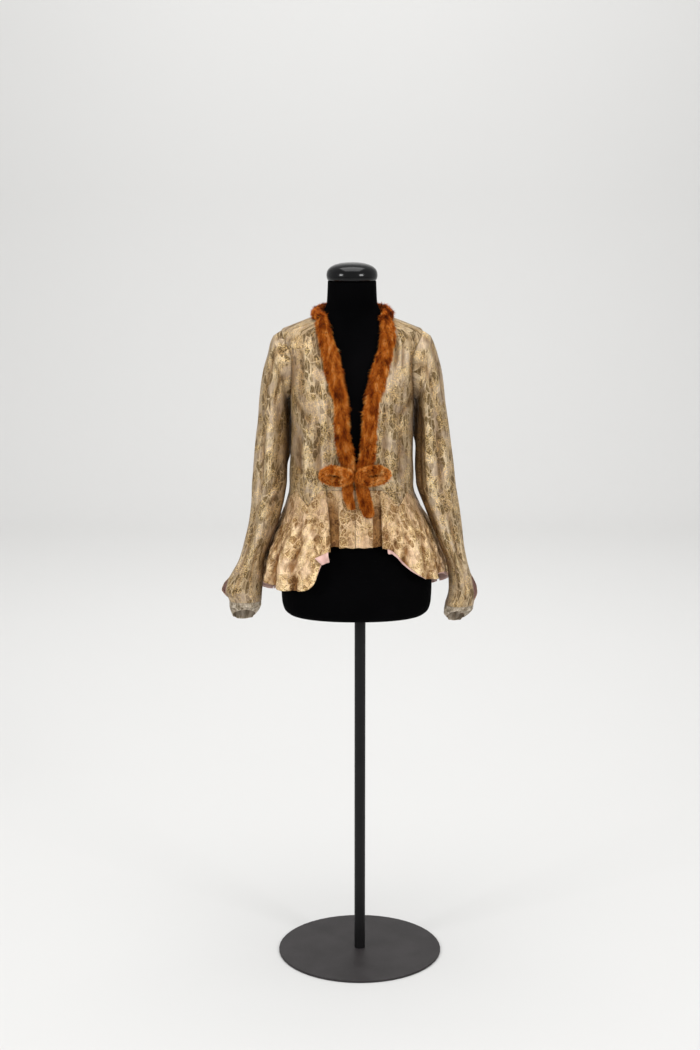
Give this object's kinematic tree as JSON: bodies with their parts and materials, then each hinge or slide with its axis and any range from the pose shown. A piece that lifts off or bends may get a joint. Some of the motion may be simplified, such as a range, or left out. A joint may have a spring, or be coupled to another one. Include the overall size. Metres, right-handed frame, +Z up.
{
  "type": "jacket on dress form",
  "caption": "Metallic brocade evening jacket with a flared peplum, narrow fur collar and fur bow, on a black limbless dress form with a pole and round foot.",
  "frame": {"origin": "centre of the round foot's flat underside, on the pole's axis", "axes": "+Z up along the pole; the jacket's front faces -Y; +X is to the right in the front view"},
  "size_m": [0.5513, 0.37, 1.5645],
  "materials": {
    "form_jersey": "matt black jersey",
    "cap_gloss": "high gloss black",
    "stand_black": "matt charcoal",
    "lame_taupe": "metallic taupe and gold brocade",
    "lame_gold": "crinkled metallic gold brocade",
    "lame_silver": "silver-grey wrong side of the brocade",
    "satin_pink": "pale pink satin",
    "fur_rust": "rust-brown short fur"
  },
  "bodies": {
    "root": {"stand_base": "stand_black", "stand_pole": "stand_black", "stand_socket": "stand_black", "form_torso": "form_jersey", "form_cap": "cap_gloss", "bodice_back": "lame_taupe", "bodice_front_left": "lame_taupe", "bodice_front_right": "lame_taupe", "sleeve_left": "lame_taupe", "sleeve_right": "lame_taupe", "cuff_left": "lame_silver", "cuff_right": "lame_silver", "peplum_front_left": "lame_gold", "peplum_front_right": "lame_gold", "peplum_side_left": "lame_gold", "peplum_side_right": "lame_gold", "peplum_back": "lame_gold", "lining_side_left": "satin_pink", "lining_side_right": "satin_pink", "lining_back": "satin_pink", "fur_collar": "fur_rust", "fur_loop_left": "fur_rust", "fur_loop_right": "fur_rust", "fur_tail_left": "fur_rust", "fur_tail_right": "fur_rust"}
  },
  "joints": []
}
